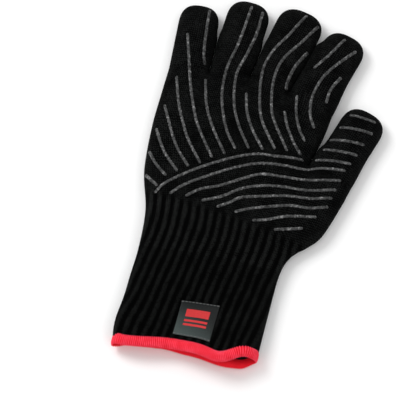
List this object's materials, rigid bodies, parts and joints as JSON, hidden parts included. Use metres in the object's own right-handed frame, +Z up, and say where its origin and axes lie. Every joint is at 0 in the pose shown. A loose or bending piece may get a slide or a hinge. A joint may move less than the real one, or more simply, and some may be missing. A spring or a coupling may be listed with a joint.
{
  "type": "heat resistant glove",
  "caption": "Long-cuffed knitted glove for handling hot cookware, lying palm up, with silicone grip lines on the palm side, a cotton liner and an overlocked cuff.",
  "frame": {"origin": "centre of the bounding box in plan, on the surface that the back of the glove lies on", "axes": "+Y from the cuff to the fingertips, +X to the thumb side, +Z up out of the palm"},
  "size_m": [0.1656, 0.2815, 0.0214],
  "materials": {
    "black_knit": "matte fine knit",
    "ribbed_knit": "matte ribbed knit",
    "cotton_liner": "matte jersey",
    "grey_silicone": "matte silicone",
    "red_overlock": "matte thread",
    "charcoal_label": "satin weave"
  },
  "bodies": {
    "hand": {"hand_grip_1": "grey_silicone", "hand_grip_10": "grey_silicone", "hand_grip_11": "grey_silicone", "hand_grip_12": "grey_silicone", "hand_grip_13": "grey_silicone", "hand_grip_14": "grey_silicone", "hand_grip_15": "grey_silicone", "hand_grip_16": "grey_silicone", "hand_grip_17": "grey_silicone", "hand_grip_18": "grey_silicone", "hand_grip_19": "grey_silicone", "hand_grip_2": "grey_silicone", "hand_grip_20": "grey_silicone", "hand_grip_21": "grey_silicone", "hand_grip_22": "grey_silicone", "hand_grip_23": "grey_silicone", "hand_grip_3": "grey_silicone", "hand_grip_4": "grey_silicone", "hand_grip_5": "grey_silicone", "hand_grip_6": "grey_silicone", "hand_grip_7": "grey_silicone", "hand_grip_8": "grey_silicone", "hand_grip_9": "grey_silicone", "hand_knit": "black_knit", "hand_liner": "cotton_liner"},
    "cuff": {"cuff_knit": "ribbed_knit", "cuff_liner": "cotton_liner", "hem": "red_overlock", "label": "charcoal_label"},
    "little": {"little_grip_1": "grey_silicone", "little_grip_2": "grey_silicone", "little_knit": "black_knit", "little_liner": "cotton_liner"},
    "ring": {"ring_grip_1": "grey_silicone", "ring_grip_2": "grey_silicone", "ring_knit": "black_knit", "ring_liner": "cotton_liner"},
    "middle": {"middle_grip_1": "grey_silicone", "middle_grip_2": "grey_silicone", "middle_grip_3": "grey_silicone", "middle_knit": "black_knit", "middle_liner": "cotton_liner"},
    "index": {"index_grip_1": "grey_silicone", "index_grip_2": "grey_silicone", "index_grip_3": "grey_silicone", "index_knit": "black_knit", "index_liner": "cotton_liner"},
    "thumb": {"thumb_grip_1": "grey_silicone", "thumb_grip_2": "grey_silicone", "thumb_grip_3": "grey_silicone", "thumb_grip_4": "grey_silicone", "thumb_grip_5": "grey_silicone", "thumb_grip_6": "grey_silicone", "thumb_knit": "black_knit", "thumb_liner": "cotton_liner"}
  },
  "joints": [
    {"name": "little_flex", "type": "hinge", "parent": "hand", "child": "little", "pos_m": [-0.06505, 0.0783, 0.019], "axis": [0.9964, 0.0844, 0], "range_deg": [0, 80], "stiffness_Nm_per_rad": 0.02},
    {"name": "ring_flex", "type": "hinge", "parent": "hand", "child": "ring", "pos_m": [-0.0351, 0.08055, 0.019], "axis": [0.9978, 0.0656, 0], "range_deg": [0, 80], "stiffness_Nm_per_rad": 0.02},
    {"name": "middle_flex", "type": "hinge", "parent": "hand", "child": "middle", "pos_m": [-0.0048, 0.07855, 0.019], "axis": [0.9808, -0.1949, 0], "range_deg": [0, 80], "stiffness_Nm_per_rad": 0.02},
    {"name": "index_flex", "type": "hinge", "parent": "hand", "child": "index", "pos_m": [0.02625, 0.0698, 0.019], "axis": [0.9407, -0.3391, 0], "range_deg": [0, 80], "stiffness_Nm_per_rad": 0.02},
    {"name": "thumb_flex", "type": "hinge", "parent": "hand", "child": "thumb", "pos_m": [0.05145, 0.0163, 0.019], "axis": [0.9487, -0.3162, 0], "range_deg": [0, 60], "stiffness_Nm_per_rad": 0.02},
    {"name": "wrist_flex", "type": "hinge", "parent": "hand", "child": "cuff", "pos_m": [-0.0208, -0.06445, 0.0195], "axis": [-1, 0, 0], "range_deg": [0, 60], "stiffness_Nm_per_rad": 0.05}
  ]
}
